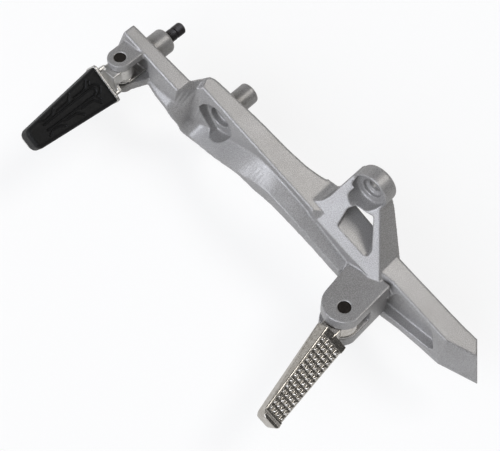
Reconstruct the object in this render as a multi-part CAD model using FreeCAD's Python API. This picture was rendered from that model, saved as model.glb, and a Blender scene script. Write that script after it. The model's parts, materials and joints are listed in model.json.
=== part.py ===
import FreeCAD, Part
import math
import os
from FreeCAD import Placement, Rotation, Vector

# Left footpeg bracket of a motorcycle: one die-cast aluminium arm with two
# folding pegs, a rubber-covered one in front and a bare polished one behind.
# X runs along the arm to the rear, Y runs inboard to the frame and Z is square
# to the arm's flat top. The origin is the centre of the front boss's end face.
# All sizes are in millimetres and all angles in degrees.

# Arm: flat top, and the heights that all its sections share
TOP_Z = 18.0
FRONT_END_X = -20.0
TAIL_X = 338.0
TAIL_Y = 5.9
TAIL_TURN = 41.6
TAIL_TILT = 28.4
EDGE_BREAK = 1.1
FLATNESS = 1e-6
CUTTER_SIZE = 400.0
FLANGE = 6.5
LIP = 3.0
WALL_STEP = 2.0

# Arm: sections along X. Each gives the inner and outer edge of the top, the
# foot of the outer wall (Y, Z), how far the bevelled rib below it stands out and
# drops, the height of the rib's side, the back of the wall and the lowest height
# of the wall's back.
FRONT_SECTIONS = [
    (FRONT_END_X, -20.5, -31.5, -31.5, -8.0, 0.8, 0.8, LIP, -22.5, -20.0),
    (15.0, -18.3, -31.5, -31.5, -4.4, 1.3, 1.3, LIP, -20.6, -20.0),
    (27.0, -17.6, -31.5, -31.5, -2.0, 3.6, 3.6, LIP, -20.0, -21.0),
    (39.0, -17.0, -31.5, -31.2, 0.3, 5.2, 5.2, LIP, -19.4, -23.0),
]
JOG_SECTIONS = [
    (46.0, -2.4, -15.0, -28.7, -4.0, 6.6, 6.6, LIP, -8.5, -27.0),
    (50.0, -2.4, -15.0, -26.4, -8.2, 7.0, 7.0, LIP, -6.0, -29.0),
    (53.5, -2.4, -15.0, -23.5, -13.0, 7.6, 7.6, LIP, -6.0, -31.0),
    (57.6, -0.4, -14.0, -20.0, -20.2, 8.9, 8.9, LIP, -6.0, -34.0),
]
JOG_TOPS = [46.2, 46.2, 46.2, 50.0]
MIDDLE_SECTIONS = [
    (64.0, 1.2, -14.0, -15.8, -23.4, 10.0, 10.0, LIP, -6.0, -36.0),
    (71.0, 1.8, -14.0, -14.6, -20.2, 10.8, 10.8, LIP, -6.0, -35.0),
    (80.0, 2.6, -14.1, -14.5, -14.0, 11.8, 11.8, LIP, -6.0, -31.0),
    (90.0, 3.6, -14.2, -14.5, -7.2, 12.8, 12.8, LIP, -6.5, -24.5),
    (102.0, 4.4, -14.2, -14.5, 2.2, 13.8, 13.8, LIP, -7.0, -16.0),
    (113.0, 4.9, -14.3, -14.5, 9.2, 14.2, 14.2, 3.4, -7.0, -9.5),
    (120.0, 5.2, -14.3, -14.5, 11.8, 13.6, 13.6, 6.0, -7.0, -7.5),
    (130.0, 5.9, -14.4, -14.5, 13.0, 13.0, 9.2, 11.6, -7.0, -6.5),
    (138.0, 6.8, -14.4, -14.5, 13.1, 12.8, 6.2, 12.4, -7.0, -6.0),
    (145.0, 7.6, -14.4, -14.5, 13.2, 12.8, 5.4, 11.5, -7.0, -5.5),
    (158.0, 10.8, -14.4, -14.5, 12.8, 12.4, 5.4, 10.2, -7.0, -5.5),
    (167.0, 14.6, -14.4, -14.5, 11.8, 12.1, 5.0, 9.6, -7.0, -5.5),
]
LUG_SECTIONS = [
    (172.0, 15.8, -14.4, -14.5, 11.2, 11.9, 4.8, 9.3, -7.0, -6.0),
    (195.0, 16.2, -14.4, -14.5, 6.8, 10.4, 3.8, 8.4, -7.0, -8.5),
    (221.0, 15.0, -14.4, -14.5, 2.9, 9.1, 3.7, 8.1, -5.0, -14.0),
]
REAR_SECTIONS = [
    (242.0, 13.4, -7.8, -9.0, -27.0, 1.0, 1.0, LIP, 3.0, -36.0),
    (253.0, 13.5, -5.6, -6.8, -28.2, 0.8, 0.8, LIP, 4.0, -34.0),
    (269.6, 13.9, -5.5, -6.6, -21.7, 0.8, 0.8, LIP, 4.0, -27.0),
    (292.0, 14.4, -5.5, -6.5, -15.7, 0.8, 0.8, LIP, 4.0, -21.0),
    (TAIL_X - 25.0, 14.9, -5.5, -6.5, -11.2, 0.8, 0.8, LIP, 4.0, -17.0),
    (TAIL_X + 10.0, 17.6, 8.6, 7.6, -11.2, 0.8, 0.8, LIP, 12.5, -17.0),
]
SECTION_STEPS = 3

# Notch between the front block and the middle of the arm
NOTCH_BOTTOM = (46.0, -14.9, 13.9)
NOTCH_FRONT_X = 39.0
NOTCH_FRONT_Y = -17.0
NOTCH_REAR = (44.4, -4.6)
NOTCH_OUTER = (49.1, -14.6)

# Webs that stiffen the open inboard side
WEB_THICKNESS = 4.0
WEB_PLACES = (58.0, 88.0, 112.0, 138.0, 164.0)

# Front boss with its stud
FRONT_BOSS_RADIUS = 10.2
FRONT_BOSS_ROUND = 2.2
BOSS_MOUTH_RADIUS = 5.3
BOSS_MOUTH_DEPTH = 0.5
BOSS_BORE_CLEARANCE = 0.03
STUD_RADIUS = 5.0
STUD_SEAT_RADIUS = 4.8
STUD_SEAT_DEPTH = 20.0
STUD_BASE_LENGTH = 7.5
STUD_WAIST_RADIUS = 4.1
STUD_WAIST_LENGTH = 1.8
STUD_LENGTH = 17.0
STUD_CHAMFER = 1.0

# Middle boss with its bolt hole and the pocket for the bolt head
MIDDLE_BOSS_X = 72.0
MIDDLE_BOSS_Z = -6.5
MIDDLE_BOSS_RADIUS = 9.0
MIDDLE_BOSS_END_Y = 26.5
MIDDLE_BOSS_ROUND = 1.0
BOLT_HOLE_RADIUS = 5.25
HEAD_POCKET_RADIUS = 16.6
HEAD_POCKET_CENTRE = (72.3, -4.8)
HEAD_POCKET_SIDE_RADIUS = 40.2
HEAD_POCKET_SIDE_CENTRE = (90.7, 16.6)
HEAD_POCKET_FLOOR_Y = -8.0
HEAD_POCKET_WALL = 3.0
HEAD_POCKET_FLOOR = 4.0
HEAD_SEAT_RADIUS = 9.0
HEAD_SEAT_DEPTH = 6.0
HEAD_SEAT_Y = HEAD_POCKET_FLOOR_Y + HEAD_SEAT_DEPTH

# Lug: a leaning triangular plate with a window, a gusset and an eye
LUG_LEAN = 45.0
LUG_FOOT = (-14.4, 12.0)
LUG_SCOOP = 8.0
LUG_SEAT_ROUND = 7.0
LUG_PLATE = 8.0
LUG_FRONT_X = 173.0
LUG_REAR_FOOT_X = LUG_FRONT_X + 77.5
LUG_REAR_TOP = (LUG_FRONT_X + 31.4, 42.3)
LUG_BACK_FOOT_Y = 13.4
LUG_BACK_TOP_Y = 29.0
LUG_GUSSET = 8.0
LUG_HOLLOW_REACH = 80.0
LUG_HOLLOW_TOP = 60.0
EYE_X = LUG_FRONT_X + 16.8
EYE_Z = 45.3
EYE_RADIUS = 15.7
EYE_FACE_Y = 17.0
EYE_LENGTH = 13.5
EYE_ROUND = 2.0
EYE_DISH_RADIUS = 13.7
EYE_DISH_DEPTH = 3.0
EYE_BORE_RADIUS = 5.1
EYE_SINK_RADIUS = 8.2
EYE_SINK_DEPTH = 3.5
# Window corners: (distance behind the lug's front, height along its slope)
WINDOW_CORNERS = [(21.0, 8.0), (16.0, 24.1), (18.0, 29.3), (33.0, 34.6), (51.5, 15.8), (53.0, 8.8)]
WINDOW_ROUND = 2.4

# Rear outer pocket: (X, Z) corners
POCKET_CORNERS = [(262.0, 13.2), (298.8, 13.2), (304.0, 8.5), (316.5, -8.6), (282.0, -21.4), (262.0, -29.0)]
POCKET_ROUND = 4.0
POCKET_DEPTH = 7.5

# Hinges: both pins lean forward from Z by the same angle
HINGE_LEAN = 23.0
TREAD_LEAN = 16.0

# Front clevis
FRONT_PIVOT = (-1.7, -45.5, 0.0)
FRONT_EAR_RADIUS = 9.7
FRONT_CLEVIS_HALF = 15.5
FRONT_EAR = 6.0
FRONT_FAR_EAR_RADIUS = 8.2
FRONT_FAR_EAR_FLARE = 15.5
FRONT_RECESS_REAR = 13.9
FRONT_RECESS_DEPTH = 4.5
FRONT_ROOT_Y = -31.5
FRONT_PIN_RADIUS = 4.0
FRONT_HEAD_RADIUS = 4.6

# Rear clevis
REAR_PIVOT = (248.7, -46.0, -4.9)
REAR_EAR_RADIUS = 17.0
REAR_EAR_CENTRE = (-2.6, 2.6)
REAR_CLEVIS_HALF = 19.15
REAR_EAR = 11.7
REAR_ROOT_Y = -14.5
REAR_EAR_REAR = 13.8
REAR_EAR_FLARE = 22.9
REAR_BACK_WALL_Y = -29.5
REAR_PIN_RADIUS = 4.5
REAR_HEAD_RADIUS = 5.15

# Fits of pins, washers and clips
PIN_FIT = 0.03
PEG_FIT = 0.08
SIDE_GAP = 0.3
HEAD_HEIGHT = 2.5
HEAD_SINK = 0.5
PIN_TAIL = 3.8
PIN_CHAMFER = 0.6
GROOVE_DEPTH = 0.8
CLIP_THICKNESS = 1.0
CLIP_RING = 2.4
CLIP_MOUTH = 2.6
WASHER_THICKNESS = 1.0
WASHER_RING = 3.2

# Front peg: metal core, as distances from the pin along the peg
TONGUE_RADIUS = 9.0
TONGUE_SPRING_GAP = 0.75
NECK_HALF_WIDTH = 7.0
YOKE_START = 10.7
YOKE_DEPTH = 3.2
YOKE_HALF_WIDTH = 12.0
YOKE_HALF_HEIGHT = 5.0
SLOT_DEPTH = 3.6
SLOT_HALF_WIDTH = 8.8
PLATE_DEPTH = 2.6
PLATE_START = YOKE_START + YOKE_DEPTH + SLOT_DEPTH
PLATE_ROUND = 3.0
PLATE_HALF_WIDTH = 16.2
PLATE_TOP = 7.5
TRAY_TOP = -5.5
TRAY_THICKNESS = 4.0
TRAY_MARGIN = 0.7
SCREW_PLACES = (38.0, 70.0)
SCREW_RADIUS = 2.5
SCREW_HEAD_RADIUS = 4.6
SCREW_HEAD_HEIGHT = 2.4
SCREW_GRIP = 6.0
SCREW_FIT = 0.03

# Front peg: rubber cover
RUBBER_START = PLATE_START + PLATE_DEPTH
RUBBER_END = 92.5
RUBBER_HALF_WIDE = 15.4
RUBBER_HALF_TIP = 8.4
RUBBER_TOP = 9.0
RUBBER_EDGE_ROUND = 3.2
RUBBER_TIP_ROUND = 5.0
GROOVE_CUT = 1.3
GROOVE_WIDTH = 1.6
CHEVRONS = 5
CHEVRON_START = 33.0
CHEVRON_PITCH = 11.0
CHEVRON_SWEEP = 6.0
CENTRE_BAR_HALF = 3.4
SIDE_MARGIN = 2.6

# Front return spring: coils round the pin, one leg on the arm, one on the peg
SPRING_WIRE = 1.8
SPRING_SEAT_GAP = 0.3
SPRING_RADIUS = 6.4
SPRING_COILS = 2.5
SPRING_PITCH = 2.1
SPRING_LEG_ARM = FRONT_ROOT_Y + FRONT_RECESS_DEPTH - FRONT_PIVOT[1] - SPRING_SEAT_GAP
SPRING_LEG_PEG = 8.6
COIL_STEPS = 16
WIRE_SIDES = 6

# Rear peg: swept, polished, with rows of small pyramids
REAR_SWEEP = 6.2
REAR_TONGUE_RADIUS = 12.5
REAR_NECK_HALF_WIDTH = 7.5
BLADE_START = 17.5
BLADE_END = 103.0
BLADE_TOP = 8.5
BLADE_ROOT = (-14.3, 13.2, -8.3, -4.5)
BLADE_TIP = (-7.6, 9.4, -6.2, -1.0)
BLADE_SIDE_Z = 0.5
TIP_ROUND = 4.0
LIP_START = BLADE_END - 5.5
LIP_SLOPE = 3.0
LIP_RISE = 1.8
TREAD_START = 24.0
TREAD_END = BLADE_END - 7.5
TREAD_SINK = 1.5
TREAD_BORDER = 1.6
PYRAMIDS_ALONG = 14
PYRAMIDS_ACROSS = 4
PYRAMID_HEIGHT = 1.9
PYRAMID_ROOT = 0.2
PYRAMID_TOP_SHARE = 0.3
PYRAMID_GAP_SHARE = 0.08

# Rear detent: a plunger on a spring in the peg's tongue, and a plate with two dimples
PLUNGER_RADIUS = 3.0
PLUNGER_PROUD = 0.2
PLUNGER_LENGTH = 6.0
PLUNGER_NOSE_RADIUS = 1.2
PLUNGER_NOSE = 1.4
PLUNGER_FIT = 0.05
DETENT_DISTANCE = 8.4
DETENT_HOLE_TOP = 5.0
DETENT_PLATE = 1.5
DETENT_PLATE_RADIUS = 13.0
DETENT_DIMPLE_RADIUS = 1.6
DETENT_SPRING_WIRE = 0.7
DETENT_SPRING_TURNS = 4
REAR_FOLD = 85.0


def box(x0, x1, y0, y1, z0, z1):
    """Block between two opposite corners."""
    return Part.makeBox(x1 - x0, y1 - y0, z1 - z0, Vector(x0, y0, z0))


def rod(centre, radius, length, direction):
    """Round bar from centre along a direction."""
    return Part.makeCylinder(radius, length, Vector(*centre), Vector(*direction))


def prism(points, lift):
    """Solid swept from a closed outline of 3-D points."""
    outline = Part.makePolygon(points + [points[0]])
    return Part.Face(outline).extrude(lift)


def rounded_prism(points, radius, lift):
    """Solid swept from an outline whose upright edges are rounded."""
    solid = prism(points, lift)
    axis = Vector(lift).normalize()
    upright = [e for e in solid.Edges if abs(abs(e.tangentAt(e.FirstParameter).dot(axis)) - 1.0) < 1e-6]
    return solid.makeFillet(radius, upright)


def half_space(point, normal):
    """Large block that fills the side of a plane to which its normal points."""
    size = CUTTER_SIZE
    block = Part.makeBox(size, size, size, Vector(-size / 2, -size / 2, 0))
    block.Placement = Placement(Vector(*point), Rotation(Vector(0, 0, 1), Vector(*normal)))
    return block


def join(shapes):
    """One solid from overlapping shapes, with split faces merged."""
    return shapes[0].fuse(shapes[1:]).removeSplitter()


def hinge_frame(pivot):
    """Place local shapes at a pivot: Z along the pin, X to the rear, Y inboard."""
    return Placement(Vector(*pivot), Rotation(Vector(0, 1, 0), -HINGE_LEAN))


def tread_frame(pivot, sweep=0.0):
    """Place local shapes at a pivot: Z square to the tread, -Y along the peg."""
    hinge = Rotation(Vector(0, 1, 0), -HINGE_LEAN)
    turn = Rotation(Vector(0, 0, 1), sweep)
    level = Rotation(Vector(0, 1, 0), HINGE_LEAN + TREAD_LEAN)
    return Placement(Vector(*pivot), hinge.multiply(turn).multiply(level))


def placed(shape, placement):
    """Copy of a local shape in its place on the arm."""
    copy = shape.copy()
    copy.Placement = placement.multiply(copy.Placement)
    return copy


def arm_section(row, top_x, lean):
    """Closed outline of the arm at one place along X, open at the back like a channel."""
    x, inner, outer, foot_y, foot_z, rib, drop, side, back, low = row
    drift = math.tan(math.radians(lean))
    under = TOP_Z - FLANGE
    points = [
        (top_x, inner, TOP_Z - EDGE_BREAK),
        (top_x, inner - EDGE_BREAK, TOP_Z),
        (top_x, outer + EDGE_BREAK, TOP_Z),
        (top_x, outer, TOP_Z - EDGE_BREAK),
        (x, foot_y, foot_z),
        (x, foot_y - rib, foot_z - drop),
        (x, foot_y - rib, foot_z - drop - side),
        (x, back, low),
        (top_x, back, under - WALL_STEP),
        (top_x, inner, under),
    ]
    return [Vector(px + (TOP_Z - pz) * drift, py, pz) for px, py, pz in points]


def flat_face(points):
    """Flat face inside a closed outline."""
    return Part.Face(Part.makePolygon(points + [points[0]]))


def patch(a, b, c, d):
    """Flat face on four corners, or two triangles if the corners are twisted."""
    corners = [a]
    for p in (b, c, d):
        if all((p - q).Length > FLATNESS for q in corners):
            corners.append(p)
    if len(corners) < 3:
        return []
    normal = (corners[1] - corners[0]).cross(corners[2] - corners[0]).normalize()
    if len(corners) == 3 or abs((d - a).dot(normal)) < FLATNESS:
        return [flat_face(corners)]
    return [flat_face([a, b, c]), flat_face([a, c, d])]


def skin(near, far):
    """Flat faces between two sections with the same count of corners."""
    faces = []
    for i, a in enumerate(near):
        j = (i + 1) % len(near)
        faces += patch(a, near[j], far[j], far[i])
    return faces


def solid_through(rings):
    """Flat-faced solid through a run of flat-ended sections."""
    faces = [flat_face(rings[0]), flat_face(rings[-1])]
    for near, far in zip(rings, rings[1:]):
        faces += skin(near, far)
    return Part.makeSolid(Part.makeShell(faces))


def eased(before, start, end, after, share):
    """Point of a smooth curve through four values, between the middle two."""
    slope_in = (end - before) / 2
    slope_out = (after - start) / 2
    bend = 3 * (end - start) - 2 * slope_in - slope_out
    twist = 2 * (start - end) + slope_in + slope_out
    return start + share * (slope_in + share * (bend + share * twist))


def between(rings, i, share):
    """Section between two rings, eased where a corner moves on from ring to ring."""
    ring = []
    for four in zip(*rings[i - 1:i + 3]):
        if all(b.x - a.x > FLATNESS for a, b in zip(four, four[1:])):
            ring.append(Vector(*[eased(*values, share) for values in zip(*four)]))
        else:
            ring.append(four[1] + (four[2] - four[1]) * share)
    return ring


def smooth_run(rings, first, last):
    """The rings, with more put in between from the first to the last given place."""
    run = rings[:first]
    for i in range(first, last):
        run.append(rings[i])
        run += [between(rings, i, step / SECTION_STEPS) for step in range(1, SECTION_STEPS)]
    return run + rings[last:]


def arm_body():
    """The arm without bosses, lug and clevises."""
    rows = FRONT_SECTIONS + JOG_SECTIONS + MIDDLE_SECTIONS + LUG_SECTIONS + REAR_SECTIONS
    tops = [row[0] for row in rows]
    start = len(FRONT_SECTIONS)
    tops[start:start + len(JOG_TOPS)] = JOG_TOPS
    leans = [0.0] * (len(rows) - len(REAR_SECTIONS)) + [HINGE_LEAN] * len(REAR_SECTIONS)
    rings = [arm_section(row, top, lean) for row, top, lean in zip(rows, tops, leans)]
    rings = smooth_run(rings, start - 1, start + len(JOG_SECTIONS) + len(MIDDLE_SECTIONS) - 1)
    body = solid_through(rings)
    turn = math.radians(TAIL_TURN)
    tilt = math.radians(TAIL_TILT)
    normal = (math.cos(tilt) * math.cos(turn), math.cos(tilt) * math.sin(turn), math.sin(tilt))
    return body.cut(half_space((TAIL_X, TAIL_Y, TOP_Z), normal))


def notch():
    """Three sloping planes that meet at the lowest point of the notch."""
    low = Vector(*NOTCH_BOTTOM)
    front = Vector(NOTCH_FRONT_X, NOTCH_FRONT_Y, TOP_Z)
    rear = Vector(NOTCH_REAR[0], NOTCH_REAR[1], TOP_Z)
    outer = Vector(NOTCH_OUTER[0], NOTCH_OUTER[1], TOP_Z)
    cutter = None
    for a, b in ((front, front + Vector(0, -1, 0)), (front, rear), (rear, outer)):
        normal = (a - low).cross(b - low).normalize()
        if normal.z < 0:
            normal = -normal
        block = half_space(tuple(low), tuple(normal))
        cutter = block if cutter is None else cutter.common(block)
    return cutter


def webs():
    """Upright webs between the top and the wall on the open side."""
    rows = JOG_SECTIONS + MIDDLE_SECTIONS
    parts = []
    for place in WEB_PLACES:
        before = [row for row in rows if row[0] <= place][-1]
        after = [row for row in rows if row[0] >= place][0]
        share = 0.0 if after is before else (place - before[0]) / (after[0] - before[0])
        mixed = [a + (b - a) * share for a, b in zip(before, after)]
        inner, back, low = mixed[1], mixed[8], mixed[9]
        points = [
            Vector(place, back - 1.0, low + 2.0),
            Vector(place, back + 2.0, low + 2.0),
            Vector(place, inner - 1.5, TOP_Z - FLANGE),
            Vector(place, inner - 1.5, TOP_Z - 2.0),
            Vector(place, back - 1.0, TOP_Z - 2.0),
        ]
        parts.append(prism(points, Vector(WEB_THICKNESS, 0, 0)))
    return parts


def end_rounded_boss(x, z, y0, y1, radius, rounding):
    """Boss along Y whose free inboard end is eased in two steps."""
    points = [
        (0, y0),
        (radius, y0),
        (radius, y1 - rounding),
        (radius - rounding * 0.3, y1 - rounding * 0.3),
        (radius - rounding, y1),
        (0, y1),
    ]
    outline = [Vector(x + r, y, z) for r, y in points]
    return flat_face(outline).revolve(Vector(x, 0, z), Vector(0, 1, 0), 360)


def lug_directions():
    """Up the slope of the lug's outer face, and square out of it."""
    lean = math.radians(LUG_LEAN)
    return Vector(0, math.sin(lean), math.cos(lean)), Vector(0, -math.cos(lean), math.sin(lean))


def lug_seat():
    """What the lug's slanted face takes off the arm's outer top edge."""
    slope, out = lug_directions()
    foot = Vector(LUG_FRONT_X, LUG_FOOT[0], LUG_FOOT[1]) - slope * 2
    reach = slope * 40
    block = prism([foot, foot + reach, foot + reach + out * 20, foot + out * 20],
                  Vector(LUG_REAR_FOOT_X - LUG_FRONT_X + 6, 0, 0))
    front = [e for e in block.Edges if (e.CenterOfMass - foot - reach * 0.5).Length < FLATNESS]
    return block.makeFillet(LUG_SEAT_ROUND, front)


def lug():
    """Leaning plate with a gusset at its rear and an eye at its top."""
    slope, out = lug_directions()
    foot = Vector(0, LUG_FOOT[0], LUG_FOOT[1])
    back_foot = Vector(0, LUG_BACK_FOOT_Y, TOP_Z - 1.0)
    back_top = Vector(0, LUG_BACK_TOP_Y, EYE_Z)
    tip = foot + slope * ((EYE_Z - LUG_FOOT[1]) / slope.z)
    shift = Vector(LUG_FRONT_X, 0, 0)
    start = Vector(LUG_FRONT_X - LUG_SCOOP, 0, 0)
    length = Vector(LUG_REAR_FOOT_X - start.x + 20, 0, 0)
    under = Vector(0, LUG_FOOT[0] + 4, 4.0)
    wedge = prism([p + start for p in (foot, tip, back_top, back_foot, under)], length)
    wedge = wedge.cut(box(start.x - 1, LUG_FRONT_X, -60, 80, TOP_Z + LUG_SCOOP, EYE_Z + 20))
    wedge = wedge.cut(rod((start.x, -60, TOP_Z + LUG_SCOOP), LUG_SCOOP, 140, (0, 1, 0)))
    rise = Vector(LUG_REAR_TOP[0] - LUG_REAR_FOOT_X, 0, LUG_REAR_TOP[1] - LUG_FOOT[1])
    rear_normal = Vector(-rise.z, 0, rise.x).normalize()
    if rear_normal.x < 0:
        rear_normal = -rear_normal
    rear_foot = Vector(LUG_REAR_FOOT_X, 0, LUG_FOOT[1])
    wedge = wedge.cut(half_space(tuple(rear_foot), tuple(rear_normal)))
    inside_foot = foot - out * LUG_PLATE
    inside_tip = tip - out * LUG_PLATE + slope * LUG_HOLLOW_TOP
    far = Vector(0, LUG_HOLLOW_REACH, LUG_HOLLOW_TOP)
    low = Vector(0, LUG_HOLLOW_REACH, TOP_Z)
    inside = inside_foot + slope * ((TOP_Z - inside_foot.z) / slope.z)
    hollow = prism([p + start - Vector(10, 0, 0) for p in (inside, inside_tip, far, low)], length * 2)
    inner_rear = rear_foot - rear_normal * LUG_GUSSET
    hollow = hollow.cut(half_space(tuple(inner_rear), tuple(rear_normal)))
    plate = wedge.cut(hollow)
    corners = [foot + shift + slope * s + Vector(x, 0, 0) + out * 5 for x, s in WINDOW_CORNERS]
    window = rounded_prism(corners, WINDOW_ROUND, out * -(LUG_PLATE + 12))
    return plate.cut(window)


def eye():
    """Round end of the lug, along Y."""
    return end_rounded_boss(EYE_X, EYE_Z, EYE_FACE_Y, EYE_FACE_Y + EYE_LENGTH, EYE_RADIUS, EYE_ROUND)


def eye_bores():
    """Dish on the outer side, sink and through bore of the eye."""
    dish = rod((EYE_X, EYE_FACE_Y - 30, EYE_Z), EYE_DISH_RADIUS, 30 + EYE_DISH_DEPTH, (0, 1, 0))
    sink = rod((EYE_X, EYE_FACE_Y, EYE_Z), EYE_SINK_RADIUS, EYE_DISH_DEPTH + EYE_SINK_DEPTH, (0, 1, 0))
    bore = rod((EYE_X, EYE_FACE_Y - 1, EYE_Z), EYE_BORE_RADIUS, EYE_LENGTH + 4, (0, 1, 0))
    return [dish, sink, bore]


def ear(centre, radius, rear, rear_flare, front_flare, depth, z0, z1):
    """Clevis ear in its hinge frame: round end near the pin, root towards +Y."""
    x, y = centre
    half_turn = math.sqrt(0.5)
    angle = math.acos(min(1.0, (rear - x) / radius))
    meet = Vector(rear, y - radius * math.sin(angle), z0)
    low = Vector(x - radius * half_turn, y - radius * half_turn, z0)
    left = Vector(x - radius, y, z0)
    root_rear = Vector(rear_flare, depth, z0)
    root_front = Vector(-front_flare, depth, z0)
    edges = [Part.makeLine(root_rear, meet), Part.Arc(meet, low, left).toShape()]
    edges += [Part.makeLine(left, root_front), Part.makeLine(root_front, root_rear)]
    return Part.Face(Part.Wire(edges)).extrude(Vector(0, 0, z1 - z0))


def front_clevis():
    """Two ears that stand on the front block."""
    depth = FRONT_ROOT_Y - FRONT_PIVOT[1] + 1.5
    inner = FRONT_CLEVIS_HALF - FRONT_EAR
    r = FRONT_EAR_RADIUS
    far_r = FRONT_FAR_EAR_RADIUS
    near = ear((0, 0), r, r, r, r, depth, inner, FRONT_CLEVIS_HALF)
    far = ear((0, 0), far_r, far_r, FRONT_FAR_EAR_FLARE, far_r, depth, -FRONT_CLEVIS_HALF, -inner)
    return [placed(p, hinge_frame(FRONT_PIVOT)) for p in (near, far)]


def clevis_recess():
    """Recess in the arm's wall between the ears of the front clevis."""
    inner = FRONT_CLEVIS_HALF - FRONT_EAR
    root = FRONT_ROOT_Y - FRONT_PIVOT[1]
    recess = box(-FRONT_EAR_RADIUS, FRONT_RECESS_REAR, root - 1, root + FRONT_RECESS_DEPTH, -inner, inner)
    return placed(recess, hinge_frame(FRONT_PIVOT))


def rear_clevis():
    """Two thick ears and the wall that joins them to the arm."""
    depth = REAR_ROOT_Y - REAR_PIVOT[1] + 6.0
    wall_start = REAR_BACK_WALL_Y - REAR_PIVOT[1]
    inner = REAR_CLEVIS_HALF - REAR_EAR
    parts = []
    for z0, z1 in ((inner, REAR_CLEVIS_HALF), (-REAR_CLEVIS_HALF, -inner)):
        parts.append(ear(REAR_EAR_CENTRE, REAR_EAR_RADIUS, REAR_EAR_REAR, REAR_EAR_REAR, REAR_EAR_FLARE,
                         depth, z0, z1))
    parts.append(box(-REAR_EAR_FLARE + 2, REAR_EAR_REAR, wall_start, depth, -inner - 1, inner + 1))
    return [placed(p, hinge_frame(REAR_PIVOT)) for p in parts]


def pin_bores(pivot, half, radius, head_radius):
    """Bore through both ears of a clevis, with a seat for the pin's head."""
    bore = rod((0, 0, -half - 5), radius + PIN_FIT, 2 * half + 10, (0, 0, 1))
    seat = rod((0, 0, half - HEAD_SINK - HEAD_HEIGHT), head_radius + PIN_FIT, 10, (0, 0, 1))
    return placed(bore.fuse(seat), hinge_frame(pivot))


def rear_pocket():
    """Recess in the outer face behind the rear clevis."""
    corners = [Vector(x, -30, z) for x, z in POCKET_CORNERS]
    return rounded_prism(corners, POCKET_ROUND, Vector(0, 30 - 5.5 + POCKET_DEPTH, 0))


def head_pocket():
    """Room for the middle bolt's head: round, with a flatter side at the front."""
    depth = HEAD_POCKET_FLOOR_Y + 60
    centre = HEAD_POCKET_CENTRE
    side = HEAD_POCKET_SIDE_CENTRE
    round_part = rod((centre[0], -60, centre[1]), HEAD_POCKET_RADIUS, depth, (0, 1, 0))
    side_part = rod((side[0], -60, side[1]), HEAD_POCKET_SIDE_RADIUS, depth, (0, 1, 0))
    return round_part.common(side_part)


def bracket_casting():
    """The whole arm as it leaves the mould, with its bores."""
    body = arm_body().cut(notch()).cut(rear_pocket()).cut(lug_seat())
    front_boss = end_rounded_boss(0, 0, FRONT_SECTIONS[1][2] + 4, 0, FRONT_BOSS_RADIUS, FRONT_BOSS_ROUND)
    middle_boss = end_rounded_boss(MIDDLE_BOSS_X, MIDDLE_BOSS_Z, HEAD_SEAT_Y + 1,
                                   MIDDLE_BOSS_END_Y, MIDDLE_BOSS_RADIUS, MIDDLE_BOSS_ROUND)
    backing = rod((HEAD_POCKET_CENTRE[0], HEAD_POCKET_FLOOR_Y - HEAD_POCKET_WALL, HEAD_POCKET_CENTRE[1]),
                  HEAD_POCKET_RADIUS + HEAD_POCKET_WALL, HEAD_POCKET_WALL + HEAD_POCKET_FLOOR, (0, 1, 0))
    seat = rod((MIDDLE_BOSS_X, HEAD_POCKET_FLOOR_Y, MIDDLE_BOSS_Z), HEAD_SEAT_RADIUS + HEAD_POCKET_WALL,
               HEAD_SEAT_DEPTH + HEAD_POCKET_FLOOR, (0, 1, 0))
    parts = [body, front_boss, middle_boss, backing, seat, lug(), eye()]
    parts += webs() + front_clevis() + rear_clevis()
    solid = join(parts)
    cuts = eye_bores()
    cuts.append(head_pocket())
    cuts.append(rod((MIDDLE_BOSS_X, HEAD_POCKET_FLOOR_Y - 5, MIDDLE_BOSS_Z), HEAD_SEAT_RADIUS,
                    HEAD_SEAT_DEPTH + 5, (0, 1, 0)))
    cuts.append(clevis_recess())
    cuts.append(rod((MIDDLE_BOSS_X, -20, MIDDLE_BOSS_Z), BOLT_HOLE_RADIUS, 60, (0, 1, 0)))
    cuts.append(rod((0, -STUD_SEAT_DEPTH, 0), STUD_SEAT_RADIUS + BOSS_BORE_CLEARANCE,
                    STUD_SEAT_DEPTH + 5, (0, 1, 0)))
    cuts.append(rod((0, -BOSS_MOUTH_DEPTH, 0), BOSS_MOUTH_RADIUS, BOSS_MOUTH_DEPTH + 5, (0, 1, 0)))
    cuts.append(pin_bores(FRONT_PIVOT, FRONT_CLEVIS_HALF, FRONT_PIN_RADIUS, FRONT_HEAD_RADIUS))
    cuts.append(pin_bores(REAR_PIVOT, REAR_CLEVIS_HALF, REAR_PIN_RADIUS, REAR_HEAD_RADIUS))
    for cutter in cuts:
        solid = solid.cut(cutter)
    return solid


def mounting_stud():
    """Black stud of the front boss: thread, waist and end thread."""
    waist_end = STUD_BASE_LENGTH + STUD_WAIST_LENGTH
    points = [
        (0, -STUD_SEAT_DEPTH),
        (STUD_SEAT_RADIUS, -STUD_SEAT_DEPTH),
        (STUD_SEAT_RADIUS, 0),
        (STUD_RADIUS, 0),
        (STUD_RADIUS, STUD_BASE_LENGTH),
        (STUD_WAIST_RADIUS, STUD_BASE_LENGTH + 0.4),
        (STUD_WAIST_RADIUS, waist_end - 0.4),
        (STUD_RADIUS, waist_end),
        (STUD_RADIUS, STUD_LENGTH - STUD_CHAMFER),
        (STUD_RADIUS - STUD_CHAMFER, STUD_LENGTH),
        (0, STUD_LENGTH),
    ]
    outline = Part.makePolygon([Vector(r, y, 0) for r, y in points] + [Vector(0, -STUD_SEAT_DEPTH, 0)])
    return Part.Face(outline).revolve(Vector(0, 0, 0), Vector(0, 1, 0), 360)


def clip_height(half):
    """Upper face of the clip below the far ear and the washer."""
    return -half - WASHER_THICKNESS - PIN_FIT


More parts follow.
